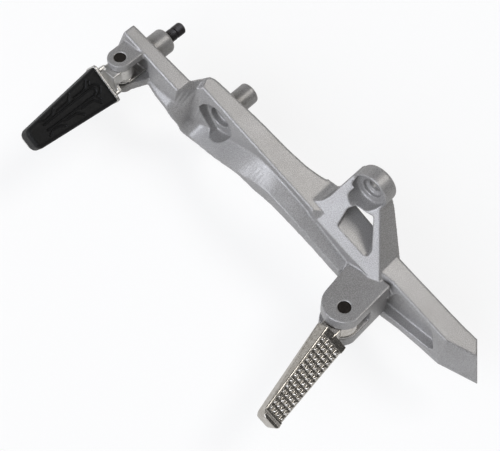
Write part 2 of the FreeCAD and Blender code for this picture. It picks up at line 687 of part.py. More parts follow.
def clevis_pin(pivot, half, radius, head_radius):
    """Headed hinge pin with a groove for its clip."""
    top = half - HEAD_SINK
    foot = -half - PIN_TAIL
    clip = clip_height(half)
    points = [
        (0, top),
        (head_radius, top),
        (head_radius, top - HEAD_HEIGHT),
        (radius, top - HEAD_HEIGHT),
        (radius, clip + PIN_FIT),
        (radius - GROOVE_DEPTH, clip + PIN_FIT),
        (radius - GROOVE_DEPTH, clip - CLIP_THICKNESS - PIN_FIT),
        (radius, clip - CLIP_THICKNESS - PIN_FIT),
        (radius, foot + PIN_CHAMFER),
        (radius - PIN_CHAMFER, foot),
        (0, foot),
    ]
    outline = Part.makePolygon([Vector(r, 0, z) for r, z in points] + [Vector(0, 0, top)])
    pin = Part.Face(outline).revolve(Vector(0, 0, 0), Vector(0, 0, 1), 360)
    return placed(pin, hinge_frame(pivot))


def pin_washer(pivot, half, radius):
    """Plain washer below the far ear."""
    outer = rod((0, 0, -half - WASHER_THICKNESS), radius + WASHER_RING, WASHER_THICKNESS, (0, 0, 1))
    hole = rod((0, 0, -half - WASHER_THICKNESS - 1), radius + PIN_FIT, WASHER_THICKNESS + 2, (0, 0, 1))
    return placed(outer.cut(hole), hinge_frame(pivot))


def pin_clip(pivot, half, radius):
    """Open spring clip in the groove of a pin."""
    top = clip_height(half)
    inner = radius - GROOVE_DEPTH + PIN_FIT
    ring = rod((0, 0, top - CLIP_THICKNESS), radius + CLIP_RING, CLIP_THICKNESS, (0, 0, 1))
    ring = ring.cut(rod((0, 0, top - CLIP_THICKNESS - 1), inner, CLIP_THICKNESS + 2, (0, 0, 1)))
    mouth = box(-CLIP_MOUTH, CLIP_MOUTH, -radius - CLIP_RING - 1, 0, top - CLIP_THICKNESS - 1, top + 1)
    return placed(ring.cut(mouth), hinge_frame(pivot))


def coil(radius, wire, pitch, turns):
    """Wire of many sides wound about Z, from height 0 upwards, in short straight lengths."""
    rings = []
    for i in range(int(turns * COIL_STEPS) + 1):
        share = i / COIL_STEPS
        turn = share * 2 * math.pi
        outward = Vector(math.cos(turn), math.sin(turn), 0)
        centre = outward * radius + Vector(0, 0, share * pitch)
        ring = []
        for k in range(WIRE_SIDES):
            angle = (k + 0.5) * 2 * math.pi / WIRE_SIDES
            ring.append(centre + (outward * math.cos(angle) + Vector(0, 0, math.sin(angle))) * (wire / 2))
        rings.append(ring)
    return solid_through(rings)


def return_spring():
    """Torsion spring in the gap below the tongue, its legs on the arm and on the peg."""
    inner = FRONT_CLEVIS_HALF - FRONT_EAR
    base = -inner + SIDE_GAP + SPRING_WIRE / 2
    wound = coil(SPRING_RADIUS, SPRING_WIRE, SPRING_PITCH, SPRING_COILS)
    wound.translate(Vector(0, 0, base))
    top = base + SPRING_PITCH * SPRING_COILS
    r = SPRING_WIRE / 2
    arm_leg = rod((SPRING_RADIUS, 0, base), r, SPRING_LEG_ARM, (0, 1, 0))
    peg_leg = rod((-SPRING_RADIUS, 0, top), r, SPRING_LEG_PEG, (0, -1, 0))
    solid = wound.fuse([arm_leg, peg_leg])
    return placed(solid, hinge_frame(FRONT_PIVOT))


def rubber_outline(start, margin, z):
    """Tapered outline of the front peg's cover, shrunk by a margin."""
    span = RUBBER_END - RUBBER_START
    share = (start - RUBBER_START) / span
    wide = RUBBER_HALF_WIDE + (RUBBER_HALF_TIP - RUBBER_HALF_WIDE) * share - margin
    tip = RUBBER_HALF_TIP - margin
    return [
        Vector(-wide, -start, z),
        Vector(wide, -start, z),
        Vector(tip, -RUBBER_END + margin, z),
        Vector(-tip, -RUBBER_END + margin, z),
    ]


def front_peg_core():
    """Tongue, yoke with its slot, end plate and the tray under the rubber."""
    inner = FRONT_CLEVIS_HALF - FRONT_EAR
    top = inner - SIDE_GAP
    low = -inner + SIDE_GAP + SPRING_WIRE + SPRING_PITCH * SPRING_COILS + TONGUE_SPRING_GAP
    tongue = rod((0, 0, low), TONGUE_RADIUS, top - low, (0, 0, 1))
    neck = box(-NECK_HALF_WIDTH, NECK_HALF_WIDTH, -YOKE_START - YOKE_DEPTH, 0, low, top)
    hinge_part = placed(tongue.fuse(neck), hinge_frame(FRONT_PIVOT))
    yoke = box(-YOKE_HALF_WIDTH, YOKE_HALF_WIDTH, -PLATE_START - 1, -YOKE_START,
               -YOKE_HALF_HEIGHT, YOKE_HALF_HEIGHT)
    slot = box(-SLOT_HALF_WIDTH, SLOT_HALF_WIDTH, -PLATE_START, -PLATE_START + SLOT_DEPTH, -20, 20)
    tray_low = TRAY_TOP - TRAY_THICKNESS
    plate = box(-PLATE_HALF_WIDTH, PLATE_HALF_WIDTH, -RUBBER_START, -PLATE_START, tray_low, PLATE_TOP)
    corners = [e for e in plate.Edges if abs(e.tangentAt(0).y) > 0.9]
    plate = plate.makeFillet(PLATE_ROUND, corners)
    tray = prism(rubber_outline(RUBBER_START - 1, TRAY_MARGIN, tray_low), Vector(0, 0, TRAY_THICKNESS))
    tip = [e for e in tray.Edges if abs(e.tangentAt(0).z) > 0.9 and e.BoundBox.YMax < -RUBBER_END + 3]
    tray = tray.makeFillet(RUBBER_TIP_ROUND, tip)
    tread_part = yoke.cut(slot).fuse([plate, tray])
    tread_part = placed(tread_part, tread_frame(FRONT_PIVOT))
    core = join([hinge_part, tread_part])
    core = core.cut(placed(rod((0, 0, -40), FRONT_PIN_RADIUS + PEG_FIT, 80, (0, 0, 1)), hinge_frame(FRONT_PIVOT)))
    for place in SCREW_PLACES:
        hole = rod((0, -place, tray_low - 1), SCREW_RADIUS + SCREW_FIT, TRAY_THICKNESS + 2, (0, 0, 1))
        core = core.cut(placed(hole, tread_frame(FRONT_PIVOT)))
    return core


def groove(x0, y0, x1, y1):
    """Straight groove in the rubber's top, from one point to another."""
    run = Vector(x1 - x0, y1 - y0, 0)
    side = Vector(-run.y, run.x, 0).normalize() * (GROOVE_WIDTH / 2)
    start = Vector(x0, y0, RUBBER_TOP - GROOVE_CUT)
    points = [start + side, start - side, start + run - side, start + run + side]
    return prism(points, Vector(0, 0, 6))


def front_peg_rubber():
    """Moulded cover with a centre bar and swept side grooves."""
    height = RUBBER_TOP - TRAY_TOP
    cover = prism(rubber_outline(RUBBER_START, 0.0, TRAY_TOP), Vector(0, 0, height))
    tip = [e for e in cover.Edges if abs(e.tangentAt(0).z) > 0.9 and e.BoundBox.YMax < -RUBBER_END + 3]
    cover = cover.makeFillet(RUBBER_TIP_ROUND, tip)
    rim = [e for e in cover.Edges if e.BoundBox.ZMin > RUBBER_TOP - 0.01]
    cover = cover.makeFillet(RUBBER_EDGE_ROUND, rim)
    grooves = []
    for i in range(CHEVRONS):
        at = CHEVRON_START + i * CHEVRON_PITCH
        share = (at + CHEVRON_SWEEP - RUBBER_START) / (RUBBER_END - RUBBER_START)
        outer = RUBBER_HALF_WIDE + (RUBBER_HALF_TIP - RUBBER_HALF_WIDE) * share - SIDE_MARGIN
        for hand in (-1, 1):
            grooves.append(groove(hand * CENTRE_BAR_HALF, -at, hand * outer, -at - CHEVRON_SWEEP))
    for hand in (-1, 1):
        x = hand * CENTRE_BAR_HALF
        grooves.append(groove(x, -CHEVRON_START + 5, x, -CHEVRON_START - (CHEVRONS - 1) * CHEVRON_PITCH - 4))
    for cutter in grooves:
        cover = cover.cut(cutter)
    for place in SCREW_PLACES:
        cover = cover.cut(rod((0, -place, TRAY_TOP - 1), SCREW_RADIUS + SCREW_FIT, SCREW_GRIP + 1, (0, 0, 1)))
    return placed(cover, tread_frame(FRONT_PIVOT))


def front_peg_screws():
    """Two screws that hold the rubber down on its tray."""
    tray_low = TRAY_TOP - TRAY_THICKNESS
    screws = []
    for place in SCREW_PLACES:
        head = rod((0, -place, tray_low - SCREW_HEAD_HEIGHT), SCREW_HEAD_RADIUS, SCREW_HEAD_HEIGHT, (0, 0, 1))
        shank = rod((0, -place, tray_low - 0.5), SCREW_RADIUS, TRAY_THICKNESS + SCREW_GRIP, (0, 0, 1))
        screws.append(placed(head.fuse(shank), tread_frame(FRONT_PIVOT)))
    return Part.makeCompound(screws)


def blade_section(distance, low_shape):
    """Outline of the rear peg's blade across its length."""
    left, right, tread_left, under = low_shape
    points = [
        (tread_left - TREAD_BORDER, BLADE_TOP),
        (right, BLADE_TOP),
        (right, BLADE_SIDE_Z + 1.0),
        (right - 3.5, under),
        (left + 3.0, under),
        (left, BLADE_SIDE_Z),
    ]
    return [Vector(x, -distance, z) for x, z in points]


def tread_edges(distance):
    """Left and right limits of the pyramids at a distance from the pin."""
    share = (distance - BLADE_START) / (BLADE_END - BLADE_START)
    left = BLADE_ROOT[2] + (BLADE_TIP[2] - BLADE_ROOT[2]) * share
    right = BLADE_ROOT[1] + (BLADE_TIP[1] - BLADE_ROOT[1]) * share
    return left, right


def pyramid(row, column):
    """One blunt pyramid of the tread, in its place in the tapering field."""
    step = (TREAD_END - TREAD_START) / PYRAMIDS_ALONG
    floor = BLADE_TOP - TREAD_SINK

    def corner(along, across, z):
        distance = TREAD_START + step * along
        left, right = tread_edges(distance)
        x = left + (right - left) * across / PYRAMIDS_ACROSS
        return Vector(x, -distance, z)

    def ring(inset, z):
        low, high = inset, 1.0 - inset
        places = [(low, low), (high, low), (high, high), (low, high)]
        return [corner(row + a, column + b, z) for a, b in places]

    base = PYRAMID_GAP_SHARE
    tip = (1.0 - PYRAMID_TOP_SHARE) / 2
    return solid_through([ring(base, floor - PYRAMID_ROOT), ring(tip, floor + PYRAMID_HEIGHT)])


def tip_corner(hand, edge):
    """What the round at one corner of the blade's tip takes away."""
    x0, x1 = sorted((edge - hand * TIP_ROUND, edge + hand * TIP_ROUND))
    corner = box(x0, x1, -BLADE_END - TIP_ROUND, -BLADE_END + TIP_ROUND, -20, 20)
    return corner.cut(rod((edge - hand * TIP_ROUND, -BLADE_END + TIP_ROUND, -20), TIP_ROUND, 40, (0, 0, 1)))


def rear_peg():
    """Polished peg: tongue, tapering blade, sunk tread with pyramids, raised tip."""
    frame = tread_frame(REAR_PIVOT, REAR_SWEEP)
    inner = REAR_CLEVIS_HALF - REAR_EAR
    top = inner - SIDE_GAP
    low = -inner + DETENT_PLATE + SIDE_GAP
    tongue = rod((0, 0, low), REAR_TONGUE_RADIUS, top - low, (0, 0, 1))
    neck = box(-REAR_NECK_HALF_WIDTH, REAR_NECK_HALF_WIDTH, -BLADE_START - 3, 0, low, top)
    root = placed(tongue.fuse(neck), hinge_frame(REAR_PIVOT))
    blade = solid_through([blade_section(BLADE_START, BLADE_ROOT), blade_section(BLADE_END, BLADE_TIP)])
    lip = prism([Vector(-20, -d, z) for d, z in (
        (LIP_START, BLADE_TOP - 1), (LIP_START, BLADE_TOP), (LIP_START + LIP_SLOPE, BLADE_TOP + LIP_RISE),
        (BLADE_END, BLADE_TOP + LIP_RISE), (BLADE_END, BLADE_TOP - 1))], Vector(40, 0, 0))
    left, right = tread_edges(LIP_START)
    tip_right = BLADE_TIP[1]
    tip_left = BLADE_TIP[2] - TREAD_BORDER
    side = [Vector(left - TREAD_BORDER, -LIP_START, 0), Vector(right, -LIP_START, 0),
            Vector(tip_right, -BLADE_END, 0), Vector(tip_left, -BLADE_END, 0)]
    lip = lip.common(prism(side, Vector(0, 0, 20)))
    blade = blade.fuse(lip)
    for hand, edge in ((1, tip_right), (-1, tip_left)):
        blade = blade.cut(tip_corner(hand, edge))
    field_left, field_right = tread_edges(TREAD_START)
    end_left, end_right = tread_edges(TREAD_END)
    floor = BLADE_TOP - TREAD_SINK
    field = prism([Vector(field_left, -TREAD_START, floor), Vector(field_right + 5, -TREAD_START, floor),
                   Vector(end_right + 5, -TREAD_END, floor), Vector(end_left, -TREAD_END, floor)],
                  Vector(0, 0, 20))
    blade = blade.cut(field)
    pyramids = [pyramid(r, c) for r in range(PYRAMIDS_ALONG) for c in range(PYRAMIDS_ACROSS)]
    blade = blade.fuse(pyramids)
    peg = join([root, placed(blade, frame)])
    peg = peg.cut(placed(rod((0, 0, -40), REAR_PIN_RADIUS + PEG_FIT, 80, (0, 0, 1)), hinge_frame(REAR_PIVOT)))
    hole = rod((0, DETENT_DISTANCE, low - 1), PLUNGER_RADIUS + PLUNGER_FIT, DETENT_HOLE_TOP - low + 1, (0, 0, 1))
    return peg.cut(placed(hole, hinge_frame(REAR_PIVOT)))


def detent_plunger():
    """Steel plunger whose cone stands just proud of the tongue's lower face."""
    nose = -REAR_CLEVIS_HALF + REAR_EAR + DETENT_PLATE + SIDE_GAP - PLUNGER_PROUD
    points = [
        (0, nose),
        (PLUNGER_NOSE_RADIUS, nose),
        (PLUNGER_RADIUS, nose + PLUNGER_NOSE),
        (PLUNGER_RADIUS, nose + PLUNGER_LENGTH),
        (0, nose + PLUNGER_LENGTH),
    ]
    outline = [Vector(r, DETENT_DISTANCE, z) for r, z in points]
    plunger = flat_face(outline).revolve(Vector(0, DETENT_DISTANCE, 0), Vector(0, 0, 1), 360)
    return placed(plunger, hinge_frame(REAR_PIVOT))


def detent_spring():
    """Small coil spring that pushes the plunger down."""
    low = -REAR_CLEVIS_HALF + REAR_EAR + DETENT_PLATE + SIDE_GAP
    plunger_top = low - PLUNGER_PROUD + PLUNGER_LENGTH
    radius = PLUNGER_RADIUS - DETENT_SPRING_WIRE
    room = DETENT_HOLE_TOP - plunger_top - DETENT_SPRING_WIRE
    wound = coil(radius, DETENT_SPRING_WIRE, room / DETENT_SPRING_TURNS, DETENT_SPRING_TURNS)
    wound.translate(Vector(0, DETENT_DISTANCE, plunger_top + DETENT_SPRING_WIRE / 2))
    return placed(wound, hinge_frame(REAR_PIVOT))


def detent_plate():
    """Thin plate on the far ear, with one dimple for each resting place of the peg."""
    low = -REAR_CLEVIS_HALF + REAR_EAR
    plate = rod((0, 0, low), DETENT_PLATE_RADIUS, DETENT_PLATE, (0, 0, 1))
    plate = plate.cut(rod((0, 0, low - 1), REAR_PIN_RADIUS + PIN_FIT, DETENT_PLATE + 2, (0, 0, 1)))
    for angle in (0.0, REAR_FOLD):
        turn = math.radians(angle)
        x = -DETENT_DISTANCE * math.sin(turn)
        y = DETENT_DISTANCE * math.cos(turn)
        plate = plate.cut(rod((x, y, low - 1), DETENT_DIMPLE_RADIUS, DETENT_PLATE + 2, (0, 0, 1)))
    return placed(plate, hinge_frame(REAR_PIVOT))


def main():
    os.makedirs("parts", exist_ok=True)
    front = (FRONT_PIVOT, FRONT_CLEVIS_HALF, FRONT_PIN_RADIUS)
    rear = (REAR_PIVOT, REAR_CLEVIS_HALF, REAR_PIN_RADIUS)
    nodes = {
        "bracket_casting": bracket_casting(),
        "mounting_stud": mounting_stud(),
        "front_clevis_pin": clevis_pin(*front, FRONT_HEAD_RADIUS),
        "front_pin_washer": pin_washer(*front),
        "front_pin_clip": pin_clip(*front),
        "front_return_spring": return_spring(),
        "front_peg_core": front_peg_core(),
        "front_peg_rubber": front_peg_rubber(),
        "front_peg_screws": front_peg_screws(),
        "rear_clevis_pin": clevis_pin(*rear, REAR_HEAD_RADIUS),
        "rear_pin_washer": pin_washer(*rear),
        "rear_pin_clip": pin_clip(*rear),
        "rear_peg": rear_peg(),
        "rear_detent_plunger": detent_plunger(),
        "rear_detent_spring": detent_spring(),
        "rear_detent_plate": detent_plate(),
    }
    for name, shape in nodes.items():
        if len(shape.Solids) == 1:
            shape = shape.Solids[0]
        shape.exportStep("parts/%s.step" % name)
        print(name, shape.ShapeType, len(shape.Solids), shape.isValid(), round(shape.Volume))


main()
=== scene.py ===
"""Looks of a motorcycle's footpeg bracket with two folding pegs."""

import json
import math

import bmesh
import bpy
import numpy as np
from bpy.props import FloatProperty, FloatVectorProperty, IntProperty, PointerProperty
from mathutils import Matrix, Vector


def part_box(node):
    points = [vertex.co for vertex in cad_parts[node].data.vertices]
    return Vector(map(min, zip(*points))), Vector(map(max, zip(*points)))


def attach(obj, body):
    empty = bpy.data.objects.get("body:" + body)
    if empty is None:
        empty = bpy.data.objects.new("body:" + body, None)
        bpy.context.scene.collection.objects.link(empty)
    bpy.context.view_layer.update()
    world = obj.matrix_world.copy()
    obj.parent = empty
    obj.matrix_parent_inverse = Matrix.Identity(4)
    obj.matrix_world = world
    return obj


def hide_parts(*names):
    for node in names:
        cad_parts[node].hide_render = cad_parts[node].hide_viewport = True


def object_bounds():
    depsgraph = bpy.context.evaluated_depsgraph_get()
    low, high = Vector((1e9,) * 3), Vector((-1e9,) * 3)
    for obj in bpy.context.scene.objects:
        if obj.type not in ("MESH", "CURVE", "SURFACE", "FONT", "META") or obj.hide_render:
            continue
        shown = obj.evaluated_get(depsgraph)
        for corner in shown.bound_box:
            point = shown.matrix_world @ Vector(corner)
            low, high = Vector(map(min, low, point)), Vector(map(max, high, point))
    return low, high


bl_info = {
    "name": "Footpeg bracket",
    "version": (1, 0, 0),
    "blender": (4, 5, 0),
    "location": "3D View > Sidebar > Footpeg",
    "description": "Finishes for a cast footpeg bracket with two folding pegs",
    "category": "Object",
}

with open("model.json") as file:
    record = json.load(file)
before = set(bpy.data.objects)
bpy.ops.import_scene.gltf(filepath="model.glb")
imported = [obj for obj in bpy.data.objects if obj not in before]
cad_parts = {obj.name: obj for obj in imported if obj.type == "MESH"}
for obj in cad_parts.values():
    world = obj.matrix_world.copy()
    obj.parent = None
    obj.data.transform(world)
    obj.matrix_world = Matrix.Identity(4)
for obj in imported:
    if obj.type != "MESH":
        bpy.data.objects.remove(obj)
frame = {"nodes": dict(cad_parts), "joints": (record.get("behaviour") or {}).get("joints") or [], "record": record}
CAD_BOX = [list(corner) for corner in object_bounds()]
STUD_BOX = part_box("mounting_stud")
MM_PER_M = 1000

# Fills of the softened casting, in millimetres
STRIP_TOP = 18.0
SWEEP_START = 165.0
SWEEP_RADIUS = 8.0
SWEEP_STEP_DEGREES = 10
SWEEP_LEAD = 2.0
SWEEP_SINK = 0.4
WALL_THICKNESS = 8.0
WALL_SUNK = 8.0
WALL_TOP = 46.0
WALL_OUTER_Y = -13.5
WALL_WIDTH = 27.2
LUG_FACE_POINT = (0.0, -14.4, 11.9)
LUG_FACE_NORMAL = (0, -1, 1)
NOSE_TOP = [(172.0, -15.1, 17.9), (172.0, -8.4, 17.9), (179.5, -8.4, 18.0), (179.5, -15.1, 11.3)]
NOSE_FOOT = 9.5
WEB_FACE = [
    (204.4, 17, 42.3),
    (204.4, 30.3, 42.3),
    (212, 28.6, 37.3),
    (222, 24.2, 30.7),
    (248, 13, 13.6),
    (248, 5, 13.6),
]
WEB_DEPTH = (4.4, 6.7)

# Tread of the rubber cover, in millimetres across and along it, for its right side
TREAD_CENTRE = -1.5
BAR_HALF = 2.8
BAR_HEAD_AT = 34
BAR_HEAD_RISE = 4
BAR_SIDE = [(2.8, 34), (2.8, 60), (2.4, 78)]
HOOD_SIDE = [(3.4, 27.8), (4.6, 32), (7.5, 30.5)]
HOOD_TOP = (0, 25.2)
TREAD_STEPS = [
    [(10.2, 32), (5.5, 36), (4.5, 41), (4.7, 47.5)],
    [(9.2, 48.5), (5.3, 52.5), (4.3, 64)],
    [(7.6, 65), (4.9, 69), (4.2, 75), (6.6, 79)],
]

# Directions and stops of the studio's surround, whose upper part holds one soft panel
PANEL_TOWARDS = (-0.24, -0.80, 0.55)
PANEL_STOPS = [(0.0, 0.06), (0.6, 0.12), (0.87, 0.42), (0.93, (4.6, 4.8, 5.3))]
BACKDROP_STOPS = [(0.24, 1.0), (0.34, 0.0)]

CAMERA_PLACE = (0.1494, -0.3830, 0.7559)
CAMERA_RIGHT = (0.6717, 0.6789, 0.2965)
CAMERA_BACK = (0.0, -0.4003, 0.9164)


class CastingSettings(bpy.types.PropertyGroup):
    """Finish of the cast arm."""

    silver: FloatVectorProperty(
        name="Silver",
        description="Colour of the silver paint on the casting",
        subtype="COLOR",
        size=3,
        min=0.0,
        max=1.0,
        default=(0.315, 0.307, 0.298),
    )
    flake_size: FloatProperty(
        name="Flake size",
        description="Size of the sparkling flakes in the paint",
        unit="LENGTH",
        default=0.0006,
        min=0.0001,
    )
    edge_round: FloatProperty(
        name="Edge round",
        description="Width of the band along the edges that catches the light",
        unit="LENGTH",
        default=0.0009,
        min=0.0,
    )
    # Painted highlight: how much the paint is lightened along the casting's edges, where they catch the light.
    edge_highlight_gain: FloatProperty(
        name="Edge gain",
        description="How much brighter the paint is where its edges are rubbed",
        default=2.6,
        min=1.0,
    )
    grain: FloatProperty(
        name="Grain",
        description="Mesh size of the softened casting",
        unit="LENGTH",
        default=0.0007,
        min=0.0005,
    )
    passes: IntProperty(
        name="Passes",
        description="How many times the casting's edges are eased",
        default=1,
        min=0,
    )
    kept: FloatProperty(
        name="Faces kept",
        description="Share of the softened casting's faces that is kept",
        default=0.5,
        min=0.1,
        max=1.0,
    )


class SteelSettings(bpy.types.PropertyGroup):
    """Finish and thread of the steel pieces."""

    black: FloatVectorProperty(
        name="Black",
        description="Colour of the black steel",
        subtype="COLOR",
        size=3,
        min=0.0,
        max=1.0,
        default=(0.022, 0.018, 0.015),
    )
    zinc: FloatVectorProperty(
        name="Zinc",
        description="Colour of the plated steel",
        subtype="COLOR",
        size=3,
        min=0.0,
        max=1.0,
        default=(0.42, 0.41, 0.39),
    )
    pitch: FloatProperty(
        name="Pitch",
        description="Distance between two turns of the stud's thread",
        unit="LENGTH",
        default=0.00125,
        min=0.0005,
    )
    depth: FloatProperty(
        name="Thread depth",
        description="Depth of the stud's thread",
        unit="LENGTH",
        default=0.00055,
        min=0.0001,
    )
    steps: IntProperty(
        name="Steps",
        description="Steps round the stud",
        default=48,
        min=12,
    )


class PegSettings(bpy.types.PropertyGroup):
    """Finish of the two pegs."""

    rubber: FloatVectorProperty(
        name="Rubber",
        description="Colour of the rubber cover",
        subtype="COLOR",
        size=3,
        min=0.0,
        max=1.0,
        default=(0.004, 0.004, 0.004),
    )
    core: FloatVectorProperty(
        name="Core",
        description="Colour of the front peg's metal",
        subtype="COLOR",
        size=3,
        min=0.0,
        max=1.0,
        default=(0.52, 0.51, 0.49),
    )
    polish: FloatVectorProperty(
        name="Polish",
        description="Colour of the rear peg's polished metal",
        subtype="COLOR",
        size=3,
        min=0.0,
        max=1.0,
        default=(0.44, 0.42, 0.39),
    )
    tread_lean: FloatProperty(
        name="Tread lean",
        description="Lean of the rubber's top in degrees",
        default=16.0,
    )
    rubber_top: FloatProperty(
        name="Rubber top",
        description="Height of the rubber's top above the hinge's centre",
        unit="LENGTH",
        default=0.009,
    )
    groove_width: FloatProperty(
        name="Groove width",
        description="Width of the grooves moulded in the rubber's top",
        unit="LENGTH",
        default=0.0013,
        min=0.0005,
    )
    groove_depth: FloatProperty(
        name="Groove depth",
        description="Depth of the grooves moulded in the rubber's top",
        unit="LENGTH",
        default=0.0009,
        min=0.0002,
    )
    rubber_grain: FloatProperty(
        name="Rubber grain",
        description="Mesh size of the softened rubber cover",
        unit="LENGTH",
        default=0.00045,
        min=0.0003,
    )
    rubber_passes: IntProperty(
        name="Rubber passes",
        description="How many times the rubber's edges are eased",
        default=2,
        min=0,
    )
    core_grain: FloatProperty(
        name="Core grain",
        description="Mesh size of the front peg's softened metal",
        unit="LENGTH",
        default=0.0006,
        min=0.0003,
    )
    core_passes: IntProperty(
        name="Core passes",
        description="How many times the edges of the front peg's metal are eased",
        default=3,
        min=0,
    )
    polish_grain: FloatProperty(
        name="Polish grain",
        description="Mesh size of the softened rear peg",
        unit="LENGTH",
        default=0.0005,
        min=0.0003,
    )
    polish_passes: IntProperty(
        name="Polish passes",
        description="How many times the rear peg's edges are eased",
        default=2,
        min=0,
    )


class StageSettings(bpy.types.PropertyGroup):
    """Floor, lamp and camera."""

    floor_gap: FloatProperty(
        name="Floor gap",
        description="How far the floor lies below the bracket",
        unit="LENGTH",
        default=0.03,
        min=0.0,
    )
    floor_half: FloatProperty(
        name="Floor half",
        description="Half the length of the floor's sides",
        unit="LENGTH",
        default=6.0,
        min=1.0,
    )
    floor_colour: FloatVectorProperty(
        name="Floor",
        description="Colour that the floor throws back on to the bracket",
        subtype="COLOR",
        size=3,
        min=0.0,
        max=1.0,
        default=(0.25, 0.25, 0.25),
    )
    floor_white: FloatVectorProperty(
        name="Floor seen",
        description="Colour of the floor as the camera, metal and glass show it",
        subtype="COLOR",
        size=3,
        min=0.0,
        max=1.0,
        default=(0.95, 0.95, 0.95),
    )
    floor_plain: FloatProperty(
        name="Floor plain",
        description="Share of the seen floor that is plain white instead of lit",
        default=0.8,
        min=0.0,
        max=1.0,
    )
    key_towards: FloatVectorProperty(
        name="Key direction",
        description="Direction in which the key lamp shines",
        size=3,
        default=(-0.05, -0.42, -0.90),
    )
    key_strength: FloatProperty(
        name="Key strength",
        description="Strength of the key lamp",
        default=1.05,
        min=0.0,
    )
    key_spread: FloatProperty(
        name="Key spread",
        description="Width of the key lamp in degrees, which softens its shadows",
        default=26.0,
        min=0.0,
        max=180.0,
    )
    key_colour: FloatVectorProperty(
        name="Key colour",
        description="Colour of the key lamp",
        subtype="COLOR",
        size=3,
        min=0.0,
        max=1.0,
        default=(1.0, 0.98, 0.95),
    )
    lens: FloatProperty(
        name="Lens",
        description="Focal length of the camera in millimetres",
        default=79.2,
        min=10.0,
    )


def add_node(tree, kind, **values):
    """Adds one shader node and sets its plain values."""
    node = tree.nodes.new(kind)
    for name, value in values.items():
        setattr(node, name, value)
    return node


def new_material(name):
    """Node material with nothing but its output and shader."""
    material = bpy.data.materials.new(name)
    material.use_nodes = True
    tree = material.node_tree
    tree.nodes.clear()
    output = add_node(tree, "ShaderNodeOutputMaterial")
    shader = add_node(tree, "ShaderNodeBsdfPrincipled")
    tree.links.new(shader.outputs["BSDF"], output.inputs["Surface"])
    return material, tree, shader


def noise(tree, size, detail):
    """Noise whose blotches are about size metres across."""
    place = add_node(tree, "ShaderNodeTexCoord")
    node = add_node(tree, "ShaderNodeTexNoise")
    node.inputs["Scale"].default_value = 1.0 / size
    node.inputs["Detail"].default_value = detail
    node.inputs["Roughness"].default_value = 0.55
    tree.links.new(place.outputs["Object"], node.inputs["Vector"])
    return node.outputs["Fac"]


def ramp(tree, source, stops):
    """Colour ramp through (place, grey or colour) stops."""
    node = add_node(tree, "ShaderNodeValToRGB")
    elements = node.color_ramp.elements
    while len(elements) < len(stops):
        elements.new(0.5)
    for element, (place, colour) in zip(elements, stops):
        element.position = place
        if not hasattr(colour, "__len__"):
            colour = (colour, colour, colour)
        element.color = (*colour, 1.0)
    tree.links.new(source, node.inputs["Fac"])
    return node.outputs["Color"]


def multiply(tree, colour, source):
    """One colour darkened or lightened by another."""
    node = add_node(tree, "ShaderNodeMix", data_type="RGBA", blend_type="MULTIPLY")
    node.inputs["Factor"].default_value = 1.0
    if hasattr(colour, "__len__"):
        node.inputs["A"].default_value = (*colour, 1.0)
    else:
        tree.links.new(colour, node.inputs["A"])
    tree.links.new(source, node.inputs["B"])
    return node.outputs["Result"]


def soft_edges(tree, radius):
    """Normals that round the edges by a radius."""
    node = add_node(tree, "ShaderNodeBevel", samples=6)
    node.inputs["Radius"].default_value = radius
    return node.outputs["Normal"]


def painted_edge_highlight(tree, rounded, gain):
    """Factor that lightens a finish along its edges: a painted highlight where the rounded edges catch the light.
    """
    shape = add_node(tree, "ShaderNodeNewGeometry")
    lean = add_node(tree, "ShaderNodeVectorMath", operation="DOT_PRODUCT")
    tree.links.new(shape.outputs["Normal"], lean.inputs[0])
    tree.links.new(rounded, lean.inputs[1])
    return ramp(tree, lean.outputs["Value"], [(0.86, gain), (0.985, 1.0)])


def bumped(tree, height, strength, distance, normal):
    """Bump from a height, on top of other normals."""
    node = add_node(tree, "ShaderNodeBump")
    node.inputs["Strength"].default_value = strength
    node.inputs["Distance"].default_value = distance
    tree.links.new(height, node.inputs["Height"])
    tree.links.new(normal, node.inputs["Normal"])
    return node.outputs["Normal"]


def seen_directly(tree):
    """Factor that is 1 for what the camera, a shiny surface or glass shows."""
    path = add_node(tree, "ShaderNodeLightPath")
    seen = path.outputs["Is Camera Ray"]
    for kind in ("Is Glossy Ray", "Is Transmission Ray"):
        either = add_node(tree, "ShaderNodeMath", operation="MAXIMUM")
        tree.links.new(seen, either.inputs[0])
        tree.links.new(path.outputs[kind], either.inputs[1])
        seen = either.outputs[0]
    return seen


def finish(name, colour, blotch, rough, bump, edge, metallic=0.0, specular=0.5):
    """Material whose colour, roughness and relief vary in small blotches.

    blotch and rough are (size, detail, stops), bump is (size, detail, strength, distance),
    and edge is the radius to which the edges look rounded.
    """
    material, tree, shader = new_material(name)
    shade = ramp(tree, noise(tree, *blotch[:2]), blotch[2])
    tree.links.new(multiply(tree, colour, shade), shader.inputs["Base Color"])
    roughness = ramp(tree, noise(tree, *rough[:2]), rough[2])
    tree.links.new(roughness, shader.inputs["Roughness"])
    normal = bumped(tree, noise(tree, *bump[:2]), *bump[2:], soft_edges(tree, edge))
    tree.links.new(normal, shader.inputs["Normal"])
    shader.inputs["Metallic"].default_value = metallic
    shader.inputs["Specular IOR Level"].default_value = specular
    return material


